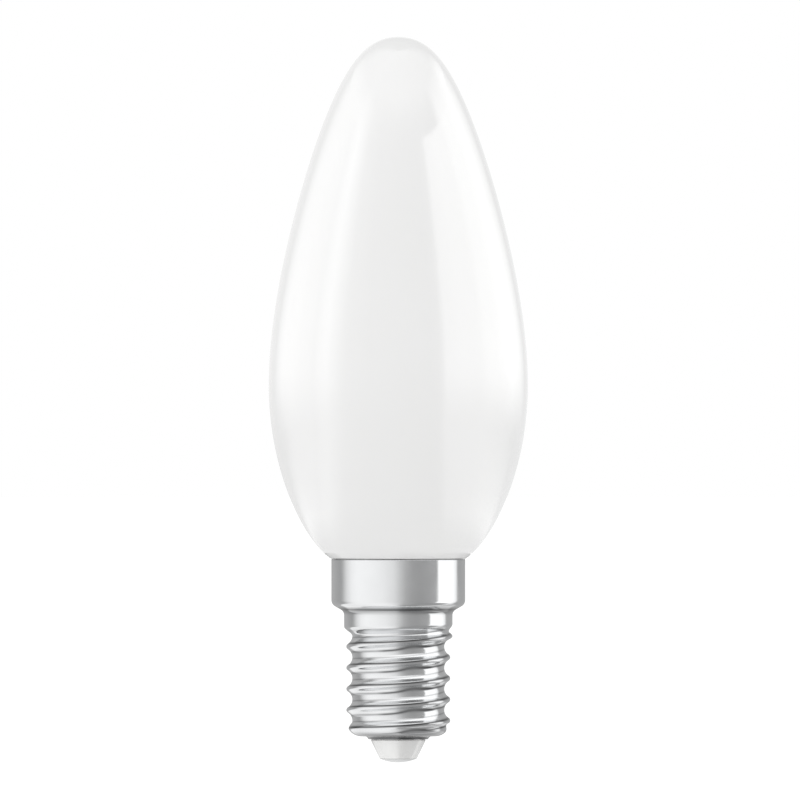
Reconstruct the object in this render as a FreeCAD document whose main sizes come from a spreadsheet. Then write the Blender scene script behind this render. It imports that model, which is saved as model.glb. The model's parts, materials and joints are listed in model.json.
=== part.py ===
# Candle bulb with an opal glass envelope and an E14 screw cap.
# Upright on its axis: the tip of the centre contact is the origin, the glass points up (+Z).
# All sizes are millimetres.
import FreeCAD, Part
import math
import os
import Sketcher

doc = FreeCAD.newDocument("CandleBulb")
sheet = doc.addObject("Spreadsheet::Sheet", "Sizes")

# Driving sizes, each written once. Heights are measured from the tip of the centre contact.
SIZES = {
    # Blown glass envelope
    "overall_length": 97.0,
    "glass_radius": 17.35,
    "belly_height": 50.5,
    "upper_belly_pull": 16.96,
    "flank_pull_radius": 9.55,
    "flank_pull_drop": 9.15,
    "tip_pull_radius": 7.39,
    "lower_belly_pull": 11.37,
    "throat_pull_radius": 12.66,
    "throat_pull_rise": 2.3,
    "glass_neck_radius": 8.0,
    "glass_neck_depth": 5.6,
    "glass_overhang": 0.05,
    "rim_round": 0.6,
    "neck_end_round": 1.2,
    "exhaust_stub_radius": 2.0,
    "exhaust_stub_length": 3.4,
    "stub_round": 1.2,
    # Formed sheet of the screw cap
    "wall": 0.3,
    "collar_radius": 8.95,
    "collar_length": 6.05,
    "collar_foot_round": 0.95,
    "shoulder_rise": 0.97,
    "neck_radius": 7.25,
    "neck_length": 5.43,
    "neck_top_round": 0.87,
    "barrel_length": 16.68,
    # Rolled thread of the cap
    "thread_pitch": 2.822,
    "crest_radius": 6.95,
    "root_radius": 6.15,
    "crest_round": 0.65,
    "last_root_depth": 0.325,
    # Bottom of the cap
    "bottom_height": 3.5,
    "bottom_round": 2.0,
    "bottom_lean": 20.0,
    "lip_radius": 4.2,
    "lip_drop": 0.42,
    "lip_slope": 0.26,
    # Moulded insulator
    "moulding_gap": 0.05,
    "insulator_radius": 3.7,
    "insulator_foot_radius": 2.45,
    "insulator_flange_radius": 5.6,
    "insulator_flange_round": 0.5,
    "insulator_flange_height": 2.15,
    "board_slot_depth": 1.2,
    "fit_gap": 0.05,
    # Centre contact
    "contact_radius": 2.45,
    "contact_dome": 0.5,
    "contact_shank_radius": 0.8,
    "contact_shank_rise": 0.8,
    # Cement ring between the glass neck and the collar
    "cement_top_gap": 0.8,
    "cement_bottom_gap": 0.65,
    # Driver board
    "board_width": 10.4,
    "board_thickness": 1.0,
    "board_front": 1.0,
    "board_foot_gap": 0.15,
    "board_top_gap": 1.0,
    "tongue_width": 7.0,
    # Smoothing capacitor, standing in front of the board
    "capacitor_radius": 3.15,
    "capacitor_rise": 2.35,
    "capacitor_top_gap": 0.7,
    "capacitor_round": 0.4,
    "crimp_depth": 0.25,
    "crimp_half_width": 0.3,
    "crimp_height": 1.3,
    "capacitor_lead_spacing": 2.5,
    "lead_drop": 1.0,
    # Packages on the back of the board
    "rectifier_width": 4.0,
    "rectifier_length": 4.7,
    "rectifier_drop": 2.5,
    "rectifier_lead_pitch": 2.54,
    "rectifier_leads": 2,
    "regulator_width": 3.0,
    "regulator_length": 3.0,
    "regulator_rise": 1.75,
    "regulator_lead_pitch": 0.65,
    "regulator_leads": 4,
    "package_thickness": 1.4,
    "package_standoff": 0.1,
    "package_edge": 0.25,
    "package_lead_width": 0.3,
    "package_lead_thickness": 0.2,
    "package_lead_reach": 1.05,
    "package_foot_length": 0.6,
    # Fuse resistor
    "resistor_radius": 0.9,
    "resistor_length": 3.5,
    "resistor_rise": 2.45,
    "resistor_offset": 4.3,
    "resistor_round": 0.3,
    # Wires
    "lead_radius": 0.25,
    "lead_bend": 0.45,
    "shell_lead_overlap": 3.6,
    "shell_lead_offset": 4.3,
    "shell_lead_turn_drop": 2.58,
    "shell_lead_top_drop": 0.88,
    "led_lead_offset": 3.2,
    "led_lead_overlap": 2.2,
}

# Heights that follow from the driving sizes: the cap is stacked up from its bottom, the glass
# hangs in its rim, and the driver stands on the moulding, below the glass.
HEIGHTS = {
    "neck_top_height": "=bottom_height + barrel_length",
    "collar_foot_height": "=neck_top_height + shoulder_rise",
    "rim_height": "=collar_foot_height + collar_length",
    "top_crest_height": "=neck_top_height - neck_length",
    "glass_rim_height": "=rim_height + glass_overhang",
    "seal_height": "=rim_height - glass_neck_depth",
    "stub_end_height": "=seal_height - exhaust_stub_length",
    "insulator_seat_height": "=bottom_height + wall + moulding_gap",
    "insulator_top_height": "=insulator_seat_height + insulator_flange_height",
    "board_bottom": "=insulator_top_height + board_foot_gap",
    "board_top": "=stub_end_height - board_top_gap",
    "capacitor_bottom": "=board_bottom + capacitor_rise",
    "capacitor_top": "=stub_end_height - capacitor_top_gap",
    "rectifier_height": "=board_top - rectifier_drop",
    "regulator_height": "=board_bottom + regulator_rise",
    "resistor_bottom": "=board_bottom + resistor_rise",
    "resistor_top": "=resistor_bottom + resistor_length",
}

for row, (word, content) in enumerate((SIZES | HEIGHTS).items(), start=1):
    sheet.set(f"A{row}", word)
    sheet.set(f"B{row}", str(content))
    sheet.setAlias(f"B{row}", word)
doc.recompute()


def measure(expression):
    """The value of a sheet expression as a plain number."""
    return float(sheet.evalExpression(str(expression)))


def plane_of(body, role):
    """One of the body's own origin planes or axes."""
    return [item for item in body.Origin.OriginFeatures if item.Role == role][0]


def new_body(label):
    """An empty body whose label names its file."""
    body = doc.addObject("PartDesign::Body", label)
    body.Label = label
    return body


def new_sketch(body, name, role, offset=None):
    """A sketch on an origin plane of its body, moved along the plane's normal by an expression."""
    sketch = body.newObject("Sketcher::SketchObject", name)
    sketch.AttachmentSupport = [(plane_of(body, role), "")]
    sketch.MapMode = "FlatFace"
    if offset is not None:
        sketch.setExpression(".AttachmentOffset.Base.z", str(offset))
    doc.recompute()
    return sketch


def pin(sketch, element, end, across, up):
    """Fix a point of the sketch at a place given by two expressions."""
    for kind, expression in (("DistanceX", across), ("DistanceY", up)):
        value = measure(expression)
        number = sketch.addConstraint(Sketcher.Constraint(kind, -1, 1, element, end, value))
        sketch.setExpression(f"Constraints[{number}]", str(expression))


def corner_round(before, corner, after, radius):
    """Centre of the arc that rounds a corner, and its two ends."""
    toward_before = (before - corner).normalize()
    toward_after = (after - corner).normalize()
    half = toward_before.getAngle(toward_after) / 2
    reach = radius / math.tan(half)
    middle = (toward_before + toward_after).normalize()
    centre = corner + middle * (radius / math.sin(half))
    return centre, corner + toward_before * reach, corner + toward_after * reach


def outline(sketch, corners, closed=True):
    """Straight sides between corners, each (across, up, round) with a round of None if it is sharp.

    Returns the first and the last side.
    """
    spots = [FreeCAD.Vector(measure(across), measure(up), 0) for across, up, _ in corners]
    count = len(corners)
    rounds = {}
    for number, (_, _, radius) in enumerate(corners):
        if radius is not None:
            before = spots[number - 1]
            after = spots[(number + 1) % count]
            rounds[number] = corner_round(before, spots[number], after, measure(radius))
    sides = []
    for number in range(count if closed else count - 1):
        following = (number + 1) % count
        start = rounds[number][2] if number in rounds else spots[number]
        end = rounds[following][1] if following in rounds else spots[following]
        sides.append(sketch.addGeometry(Part.LineSegment(start, end), False))
    for number, (across, up, radius) in enumerate(corners):
        arriving = sides[number - 1] if closed or number > 0 else None
        leaving = sides[number] if number < len(sides) else None
        if radius is None:
            if arriving is not None and leaving is not None:
                sketch.addConstraint(Sketcher.Constraint("Coincident", arriving, 2, leaving, 1))
            if leaving is not None:
                pin(sketch, leaving, 1, across, up)
            else:
                pin(sketch, arriving, 2, across, up)
            continue
        centre, first, last = rounds[number]
        turn = (first - centre).cross(last - centre).z
        angles = [math.atan2(spot.y - centre.y, spot.x - centre.x) for spot in (first, last)]
        if turn < 0:
            angles.reverse()
        if angles[1] < angles[0]:
            angles[1] += 2 * math.pi
        circle = Part.Circle(centre, FreeCAD.Vector(0, 0, 1), measure(radius))
        arc = sketch.addGeometry(Part.ArcOfCircle(circle, angles[0], angles[1]), False)
        first_end, last_end = (1, 2) if turn > 0 else (2, 1)
        sketch.addConstraint(Sketcher.Constraint("Tangent", arriving, 2, arc, first_end))
        sketch.addConstraint(Sketcher.Constraint("Tangent", arc, last_end, leaving, 1))
        size = sketch.addConstraint(Sketcher.Constraint("Radius", arc, measure(radius)))
        sketch.setExpression(f"Constraints[{size}]", str(radius))
        peak = sketch.addGeometry(Part.Point(spots[number]), True)
        sketch.addConstraint(Sketcher.Constraint("PointOnObject", peak, 1, arriving))
        sketch.addConstraint(Sketcher.Constraint("PointOnObject", peak, 1, leaving))
        pin(sketch, peak, 1, across, up)
    return sides[0], sides[-1]


def pulled_curve(sketch, pulls):
    """A smooth curve drawn by its pull points, each (across, up)."""
    spots = [FreeCAD.Vector(measure(across), measure(up), 0) for across, up in pulls]
    degree = len(spots) - 1
    curve = Part.BSplineCurve()
    curve.buildFromPolesMultsKnots(spots, [degree + 1, degree + 1], [0, 1], False, degree)
    element = sketch.addGeometry(curve, False)
    sketch.exposeInternalGeometry(element)
    for number, (across, up) in enumerate(pulls, start=1):
        pin(sketch, element + number, 3, across, up)
    return element


def revolve(body, sketch, name):
    """The sketch turned once round the body's upright axis."""
    turned = body.newObject("PartDesign::Revolution", name)
    turned.Profile = sketch
    turned.ReferenceAxis = (plane_of(body, "Z_Axis"), [""])
    turned.Angle = 360
    sketch.Visibility = False
    doc.recompute()
    return turned


def pad(body, sketch, name, length, both_ways=False):
    """The sketch pushed out to a length, or half of it to each side."""
    pushed = body.newObject("PartDesign::Pad", name)
    pushed.Profile = sketch
    pushed.setExpression("Length", str(length))
    pushed.Midplane = both_ways
    doc.recompute()
    return pushed


def circle_sketch(body, name, role, offset, across, up, radius):
    """A sketch that holds one circle."""
    sketch = new_sketch(body, name, role, offset)
    centre = FreeCAD.Vector(measure(across), measure(up), 0)
    circle = Part.Circle(centre, FreeCAD.Vector(0, 0, 1), measure(radius))
    element = sketch.addGeometry(circle, False)
    pin(sketch, element, 3, across, up)
    size = sketch.addConstraint(Sketcher.Constraint("Radius", element, measure(radius)))
    sketch.setExpression(f"Constraints[{size}]", str(radius))
    return sketch


def bent_wire(body, name, role, offset, route, start, radius):
    """A round wire along a route of corners on an upright plane.

    It starts upright, above the point start of the ground plane.
    """
    path = new_sketch(body, f"{name}_route", role, offset)
    outline(path, route, closed=False)
    section = circle_sketch(body, f"{name}_section", "XY_Plane", route[0][1], *start, radius)
    doc.recompute()
    wire = body.newObject("PartDesign::AdditivePipe", name)
    wire.Profile = section
    wire.Spine = (path, [f"Edge{number + 1}" for number in range(len(path.Shape.Edges))])
    doc.recompute()
    return wire


def glass_envelope():
    """Opal glass blown to a candle, with its neck and exhaust stub inside the cap."""
    body = new_body("glass_envelope")
    sketch = new_sketch(body, "glass_outline", "XZ_Plane")
    rim_radius = "Sizes.collar_radius + Sizes.glass_overhang"
    pulled_curve(sketch, [
        ("0", "Sizes.overall_length"),
        ("Sizes.tip_pull_radius", "Sizes.overall_length"),
        ("Sizes.flank_pull_radius", "Sizes.overall_length - Sizes.flank_pull_drop"),
        ("Sizes.glass_radius", "Sizes.belly_height + Sizes.upper_belly_pull"),
        ("Sizes.glass_radius", "Sizes.belly_height"),
    ])
    pulled_curve(sketch, [
        ("Sizes.glass_radius", "Sizes.belly_height"),
        ("Sizes.glass_radius", "Sizes.belly_height - Sizes.lower_belly_pull"),
        ("Sizes.throat_pull_radius", "Sizes.glass_rim_height + Sizes.throat_pull_rise"),
        (rim_radius, "Sizes.glass_rim_height"),
    ])
    outline(sketch, [
        (rim_radius, "Sizes.glass_rim_height", None),
        ("Sizes.glass_neck_radius", "Sizes.glass_rim_height", "Sizes.rim_round"),
        ("Sizes.glass_neck_radius", "Sizes.seal_height", "Sizes.neck_end_round"),
        ("Sizes.exhaust_stub_radius", "Sizes.seal_height", None),
        ("Sizes.exhaust_stub_radius", "Sizes.stub_end_height", "Sizes.stub_round"),
        ("0", "Sizes.stub_end_height", None),
        ("0", "Sizes.overall_length", None),
    ], closed=False)
    revolve(body, sketch, "glass_body")
    return body


def cap_outline(inset):
    """Corners of the cap's sheet from the rim to the first crest, drawn inwards by the inset."""
    before = FreeCAD.Vector(measure("Sizes.collar_radius"), measure("Sizes.rim_height"), 0)
    foot = FreeCAD.Vector(measure("Sizes.collar_radius"), measure("Sizes.collar_foot_height"), 0)
    neck = FreeCAD.Vector(measure("Sizes.neck_radius"), measure("Sizes.neck_top_height"), 0)
    slope = (neck - foot).getAngle(FreeCAD.Vector(0, -1, 0))
    lift = inset * math.tan(slope / 2)
    sideways = FreeCAD.Vector(inset, 0, 0)
    upwards = FreeCAD.Vector(0, lift, 0)
    return before - sideways, foot - sideways + upwards, neck - sideways + upwards


def sheet_side(inset):
    """One side of the cap's sheet, from the rim to the lip: 0 outside, the wall inside."""
    def spot(across, up):
        return FreeCAD.Vector(across, 0, up)

    rim, foot, neck = (spot(place.x, place.y) for place in cap_outline(inset))
    half = measure("Sizes.thread_pitch / 2")
    crest = measure("Sizes.crest_radius") - inset
    root = measure("Sizes.root_radius") - inset
    depth = crest - root
    crest_round = measure("Sizes.crest_round") - inset
    root_round = (half ** 2 + depth ** 2) / (2 * depth) - crest_round
    crest_half = half * crest_round / (crest_round + root_round)
    join = crest - crest_round + math.sqrt(crest_round ** 2 - crest_half ** 2)
    root_reach = half - crest_half

    edges = []
    here = rim
    rounds = ((foot, neck, measure("Sizes.collar_foot_round") - inset),
              (neck, spot(neck.x, 0), measure("Sizes.neck_top_round") + inset))
    for corner, following, radius in rounds:
        centre, first, last = corner_round(here, corner, following, radius)
        middle = centre + (corner - centre).normalize() * radius
        edges.append(Part.LineSegment(here, first))
        edges.append(Part.Arc(first, middle, last))
        here = last

    # The neck runs straight into the first root, whose upper flank meets it at a small crease.
    bottom_round = measure("Sizes.bottom_round") - inset
    round_centre = spot(crest - bottom_round, measure("Sizes.bottom_height + Sizes.bottom_round"))
    first_root = measure("Sizes.top_crest_height") + half
    rise = root + root_round - neck.x
    entry = spot(neck.x, first_root + math.sqrt(root_round ** 2 - rise ** 2))
    edges.append(Part.LineSegment(here, entry))
    here = entry
    level = first_root
    while level - half > round_centre.z + crest_half:
        below = spot(join, level - root_reach)
        edges.append(Part.Arc(here, spot(root, level), below))
        level -= half
        here = spot(join, level - crest_half)
        edges.append(Part.Arc(below, spot(crest, level), here))
        level -= half
    # The last, shallow root leads into the rounded bottom.
    lean = math.radians(measure("Sizes.bottom_lean"))
    corner_top = round_centre + spot(math.cos(lean), -math.sin(lean)) * bottom_round
    shallow = (here + corner_top) / 2 - spot(measure("Sizes.last_root_depth"), 0)
    edges.append(Part.Arc(here, shallow, corner_top))
    halfway = (lean + math.pi / 2) / 2
    middle = round_centre + spot(math.cos(halfway), -math.sin(halfway)) * bottom_round
    bottom = round_centre - spot(0, bottom_round)
    edges.append(Part.Arc(corner_top, middle, bottom))
    lip = spot(measure("Sizes.lip_radius") - inset / 2, bottom.z)
    edges.append(Part.LineSegment(bottom, lip))
    lip_end = spot(measure("Sizes.lip_radius - Sizes.lip_slope") - inset,
                   measure("Sizes.bottom_height - Sizes.lip_drop") + inset / 2)
    edges.append(Part.LineSegment(lip, lip_end))
    return [edge.toShape() for edge in edges]


def cap_shell():
    """The cap's nickel-plated brass sheet: collar, shoulder, rolled thread and turned-in bottom."""
    outside = sheet_side(0)
    inside = sheet_side(measure("Sizes.wall"))
    rim = Part.makeLine(inside[0].firstVertex().Point, outside[0].firstVertex().Point)
    lip = Part.makeLine(outside[-1].lastVertex().Point, inside[-1].lastVertex().Point)
    section = Part.Face(Part.Wire(Part.sortEdges(outside + inside + [rim, lip])[0]))
    shell = doc.addObject("Part::Feature", "cap_shell")
    shell.Label = "cap_shell"
    shell.Shape = section.revolve(FreeCAD.Vector(0, 0, 0), FreeCAD.Vector(0, 0, 1), 360)
    return shell


def insulator():
    """White moulding that grips the cap's lip and carries the centre contact and the board."""
    body = new_body("insulator")
    sketch = new_sketch(body, "insulator_outline", "XZ_Plane")
    foot = "Sizes.contact_dome"
    lip_end = "Sizes.bottom_height - Sizes.lip_drop - Sizes.moulding_gap"
    throat = "Sizes.lip_radius - Sizes.lip_slope - Sizes.wall - Sizes.moulding_gap"
    seat = "Sizes.insulator_seat_height"
    bore = "Sizes.contact_shank_radius + Sizes.fit_gap"
    outline(sketch, [
        (bore, foot, None),
        ("Sizes.insulator_foot_radius", foot, None),
        ("Sizes.insulator_radius", lip_end, None),
        (throat, lip_end, None),
        (throat, seat, None),
        ("Sizes.insulator_flange_radius", seat, "Sizes.insulator_flange_round"),
        ("Sizes.insulator_flange_radius", "Sizes.insulator_top_height", None),
        (bore, "Sizes.insulator_top_height", None),
    ])
    revolve(body, sketch, "insulator_body")
    slot = new_sketch(body, "board_slot", "XZ_Plane",
                      "-(Sizes.board_front + Sizes.board_thickness / 2)")
    half = "Sizes.tongue_width / 2 + Sizes.fit_gap"
    floor = "Sizes.insulator_top_height - Sizes.board_slot_depth"
    ceiling = "Sizes.insulator_top_height + Sizes.board_slot_depth"
    outline(slot, [
        (f"-({half})", floor, None),
        (half, floor, None),
        (half, ceiling, None),
        (f"-({half})", ceiling, None),
    ])
    cut = body.newObject("PartDesign::Pocket", "board_slot_cut")
    cut.Profile = slot
    cut.Midplane = True
    cut.setExpression("Length", "Sizes.board_thickness + 2 * Sizes.fit_gap")
    doc.recompute()
    return body


def centre_contact():
    """Tinned rivet: a shallow dome below the insulator and a shank through it."""
    body = new_body("centre_contact")
    sketch = new_sketch(body, "contact_outline", "XZ_Plane")
    radius = measure("Sizes.contact_radius")
    dome = measure("Sizes.contact_dome")
    ball = (radius ** 2 + dome ** 2) / (2 * dome)
    centre = FreeCAD.Vector(0, ball, 0)
    circle = Part.Circle(centre, FreeCAD.Vector(0, 0, 1), ball)
    end = math.atan2(dome - ball, radius)
    arc = sketch.addGeometry(Part.ArcOfCircle(circle, -math.pi / 2, end), False)
    pin(sketch, arc, 1, "0", "0")
    pin(sketch, arc, 2, "Sizes.contact_radius", "Sizes.contact_dome")
    sketch.addConstraint(Sketcher.Constraint("PointOnObject", arc, 3, -2))
    shank_top = "Sizes.insulator_top_height + Sizes.contact_shank_rise"
    outline(sketch, [
        ("Sizes.contact_radius", "Sizes.contact_dome", None),
        ("Sizes.contact_shank_radius", "Sizes.contact_dome", None),
        ("Sizes.contact_shank_radius", shank_top, None),
        ("0", shank_top, None),
        ("0", "0", None),
    ], closed=False)
    revolve(body, sketch, "contact_body")
    return body


def capping_cement():
    """Ring of capping cement between the glass neck and the collar."""
    body = new_body("capping_cement")
    sketch = new_sketch(body, "cement_section", "XZ_Plane")
    top = "Sizes.rim_height - Sizes.cement_top_gap"
    bottom = "Sizes.collar_foot_height + Sizes.collar_foot_round + Sizes.cement_bottom_gap"
    outline(sketch, [
        ("Sizes.glass_neck_radius", bottom, None),
        ("Sizes.collar_radius - Sizes.wall", bottom, None),
        ("Sizes.collar_radius - Sizes.wall", top, None),
        ("Sizes.glass_neck_radius", top, None),
    ])
    revolve(body, sketch, "cement_ring")
    return body


def driver_board():
    """Upright board of the driver, with a tongue in the insulator's slot."""
    body = new_body("driver_board")
    sketch = new_sketch(body, "board_outline", "XZ_Plane",
                        "-(Sizes.board_front + Sizes.board_thickness / 2)")
    tip = "Sizes.insulator_top_height - Sizes.board_slot_depth"
    outline(sketch, [
        ("-Sizes.tongue_width / 2", tip, None),
        ("Sizes.tongue_width / 2", tip, None),
        ("Sizes.tongue_width / 2", "Sizes.board_bottom", None),
        ("Sizes.board_width / 2", "Sizes.board_bottom", None),
        ("Sizes.board_width / 2", "Sizes.board_top", None),
        ("-Sizes.board_width / 2", "Sizes.board_top", None),
        ("-Sizes.board_width / 2", "Sizes.board_bottom", None),
        ("-Sizes.tongue_width / 2", "Sizes.board_bottom", None),
    ])
    pad(body, sketch, "board", "Sizes.board_thickness", both_ways=True)
    return body


def smoothing_capacitor():
    """Small can with a crimped foot and two leads bent to the board's front face."""
    body = new_body("smoothing_capacitor")
    sketch = new_sketch(body, "can_outline", "XZ_Plane")
    bottom = "Sizes.capacitor_bottom"
    top = "Sizes.capacitor_top"
    crimp = "Sizes.capacitor_radius - Sizes.crimp_depth"
    crimp_middle = "Sizes.capacitor_bottom + Sizes.crimp_height"
    outline(sketch, [
        ("0", bottom, None),
        ("Sizes.capacitor_radius", bottom, "Sizes.capacitor_round"),
        ("Sizes.capacitor_radius", f"{crimp_middle} - Sizes.crimp_half_width", None),
        (crimp, crimp_middle, None),
        ("Sizes.capacitor_radius", f"{crimp_middle} + Sizes.crimp_half_width", None),
        ("Sizes.capacitor_radius", top, "Sizes.capacitor_round"),
        ("0", top, None),
    ])
    revolve(body, sketch, "can")
    for side, sign in (("left", "-"), ("right", "")):
        across = f"{sign}Sizes.capacitor_lead_spacing / 2"
        bent_wire(body, f"can_lead_{side}", "YZ_Plane", across, [
            ("0", bottom, None),
            ("0", f"{bottom} - Sizes.lead_drop", "Sizes.lead_bend"),
            ("Sizes.capacitor_radius", f"{bottom} - Sizes.lead_drop", None),
        ], (across, "0"), "Sizes.lead_radius")
    body.setExpression(".Placement.Base.y", "Sizes.board_front - Sizes.capacitor_radius")
    return body


def board_package(label, width, length, height, lead_pitch, leads):
    """A moulded package on the board's back face, with a row of flat leads on each side."""
    body = new_body(label)
    back = "Sizes.board_front + Sizes.board_thickness"
    near = f"{back} + Sizes.package_standoff"
    block = new_sketch(body, f"{label}_block", "XY_Plane", f"{height} - {length} / 2")
    outline(block, [
        (f"-{width} / 2", near, None),
        (f"{width} / 2", near, None),
        (f"{width} / 2", f"{near} + Sizes.package_thickness", "Sizes.package_edge"),
        (f"-{width} / 2", f"{near} + Sizes.package_thickness", "Sizes.package_edge"),
    ])
    pad(body, block, f"{label}_moulding", length)
    strip = new_sketch(body, f"{label}_lead", "XY_Plane",
                       f"{height} - {lead_pitch} * ({leads} - 1) / 2 - Sizes.package_lead_width / 2")
    toe = f"({width} / 2 + Sizes.package_lead_reach)"
    heel = f"({toe} - Sizes.package_foot_length)"
    knee = f"({heel} - Sizes.package_lead_thickness)"
    low = f"({back} + Sizes.package_lead_thickness)"
    high = f"({near} + Sizes.package_thickness / 2)"
    top = f"({high} + Sizes.package_lead_thickness)"
    half = [(toe, back), (toe, low), (heel, low), (heel, top)]
    inner = [(knee, back), (knee, high)]
    corners = [(across, up, None) for across, up in half]
    corners += [(f"-{across}", up, None) for across, up in reversed(half)]
    corners += [(f"-{across}", up, None) for across, up in inner]
    corners += [(across, up, None) for across, up in reversed(inner)]
    outline(strip, corners)
    row_start = pad(body, strip, f"{label}_lead_strip", "Sizes.package_lead_width")
    row = body.newObject("PartDesign::LinearPattern", f"{label}_lead_row")
    row.Originals = [row_start]
    row.Direction = (plane_of(body, "Z_Axis"), [""])
    row.setExpression("Length", f"{lead_pitch} * ({leads} - 1)")
    row.setExpression("Occurrences", leads)
    body.Tip = row
    doc.recompute()
    return body


def fuse_resistor():
    """Upright resistor: its lower lead goes to the centre contact, its upper one to the board."""
    body = new_body("fuse_resistor")
    sketch = new_sketch(body, "resistor_outline", "XZ_Plane")
    bottom = "Sizes.resistor_bottom"
    top = "Sizes.resistor_top"
    outline(sketch, [
        ("0", bottom, None),
        ("Sizes.resistor_radius", bottom, "Sizes.resistor_round"),
        ("Sizes.resistor_radius", top, "Sizes.resistor_round"),
        ("0", top, None),
    ])
    revolve(body, sketch, "resistor_core")
    level = "Sizes.insulator_top_height + Sizes.lead_radius + Sizes.fit_gap"
    bent_wire(body, "lower_lead", "XZ_Plane", "0", [
        ("0", bottom, None),
        ("0", level, "Sizes.lead_bend"),
        ("Sizes.resistor_offset - Sizes.contact_shank_radius", level, None),
    ], ("0", "0"), "Sizes.lead_radius")
    bent_wire(body, "upper_lead", "YZ_Plane", "0", [
        ("0", top, None),
        ("0", f"{top} + Sizes.lead_drop", "Sizes.lead_bend"),
        ("Sizes.board_front", f"{top} + Sizes.lead_drop", None),
    ], ("0", "0"), "Sizes.lead_radius")
    body.setExpression(".Placement.Base.x", "-Sizes.resistor_offset")
    return body


def shell_lead():
    """Wire from the board's back face to the inner wall of the cap's neck."""
    body = new_body("shell_lead")
    depth = "(Sizes.board_front + Sizes.board_thickness + Sizes.lead_radius)"
    reach = "(Sizes.neck_radius - Sizes.wall - Sizes.lead_radius - Sizes.fit_gap)"
    wall_side = f"-sqrt({reach} * {reach} - {depth} * {depth})"
    turn = "Sizes.neck_top_height - Sizes.shell_lead_turn_drop"
    top = "Sizes.neck_top_height - Sizes.shell_lead_top_drop"
    bent_wire(body, "wire", "XZ_Plane", f"-{depth}", [
        ("-Sizes.shell_lead_offset", "Sizes.board_top - Sizes.shell_lead_overlap", None),
        ("-Sizes.shell_lead_offset", turn, "Sizes.lead_bend"),
        (wall_side, f"{top} - 2 * Sizes.lead_bend", "Sizes.lead_bend"),
        (wall_side, top, None),
    ], ("-Sizes.shell_lead_offset", depth), "Sizes.lead_radius")
    return body


def led_lead(side, sign):
    """Straight wire from the glass seal down to the board's front face."""
    body = new_body(f"led_lead_{side}")
    bottom = "(Sizes.board_top - Sizes.led_lead_overlap)"
    section = circle_sketch(body, f"led_section_{side}", "XY_Plane", bottom,
                            f"{sign}Sizes.led_lead_offset", "Sizes.board_front - Sizes.lead_radius",
                            "Sizes.lead_radius")
    pad(body, section, f"led_wire_{side}", f"Sizes.seal_height - {bottom}")
    return body


pieces = [
    glass_envelope(),
    cap_shell(),
    insulator(),
    centre_contact(),
    capping_cement(),
    driver_board(),
    smoothing_capacitor(),
    board_package("bridge_rectifier", "Sizes.rectifier_width", "Sizes.rectifier_length",
                  "Sizes.rectifier_height", "Sizes.rectifier_lead_pitch", "Sizes.rectifier_leads"),
    board_package("current_regulator", "Sizes.regulator_width", "Sizes.regulator_length",
                  "Sizes.regulator_height", "Sizes.regulator_lead_pitch", "Sizes.regulator_leads"),
    fuse_resistor(),
    shell_lead(),
    led_lead("left", "-"),
    led_lead("right", ""),
]
doc.recompute()

for item in doc.Objects:
    if "Invalid" in item.State or "Error" in item.State:
        raise RuntimeError(f"{item.Label} did not build: {item.State}")
for piece in pieces:
    if piece.Shape.isNull() or not piece.Shape.isValid() or piece.Shape.Volume <= 0:
        raise RuntimeError(f"{piece.Label} has no sound shape")

os.makedirs("parts", exist_ok=True)
for piece in pieces:
    piece.Shape.exportStep(f"parts/{piece.Label}.step")
    print(f"{piece.Label}: {len(piece.Shape.Solids)} solid, {piece.Shape.Volume:.1f} cubic mm")
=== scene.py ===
import json
import math

import bpy
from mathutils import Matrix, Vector

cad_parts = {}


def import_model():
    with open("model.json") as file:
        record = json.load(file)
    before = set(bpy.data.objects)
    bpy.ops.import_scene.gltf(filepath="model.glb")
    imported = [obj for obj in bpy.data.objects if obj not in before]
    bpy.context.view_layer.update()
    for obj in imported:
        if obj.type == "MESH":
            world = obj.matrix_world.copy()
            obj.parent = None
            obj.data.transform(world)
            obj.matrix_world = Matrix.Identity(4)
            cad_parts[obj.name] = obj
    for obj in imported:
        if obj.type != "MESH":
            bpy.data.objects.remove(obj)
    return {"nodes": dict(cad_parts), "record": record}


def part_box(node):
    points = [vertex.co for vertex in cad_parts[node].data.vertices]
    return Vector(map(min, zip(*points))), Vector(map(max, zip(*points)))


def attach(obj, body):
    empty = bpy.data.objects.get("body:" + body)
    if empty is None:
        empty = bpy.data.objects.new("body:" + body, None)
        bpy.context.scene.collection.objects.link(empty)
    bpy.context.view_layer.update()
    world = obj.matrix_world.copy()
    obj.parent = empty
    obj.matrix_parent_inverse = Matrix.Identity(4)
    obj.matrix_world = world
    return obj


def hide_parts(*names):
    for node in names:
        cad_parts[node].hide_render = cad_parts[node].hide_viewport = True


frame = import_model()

bpy.ops.object.select_all(action="DESELECT")
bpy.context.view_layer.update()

# Sizes are in metres, and heights are above the foot of the centre contact.
MM = 0.001

# What the frame's own nodes give
GLASS_LOW, GLASS_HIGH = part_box("glass_envelope")
CONTACT_LOW, CONTACT_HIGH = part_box("centre_contact")
STUB_END = GLASS_LOW.z
GLASS_TOP = GLASS_HIGH.z
RIM_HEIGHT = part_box("cap_shell")[1].z
MOULDING_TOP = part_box("insulator")[1].z
CONTACT_TOP = CONTACT_HIGH.z
CONTACT_RADIUS = CONTACT_HIGH.x

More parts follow.
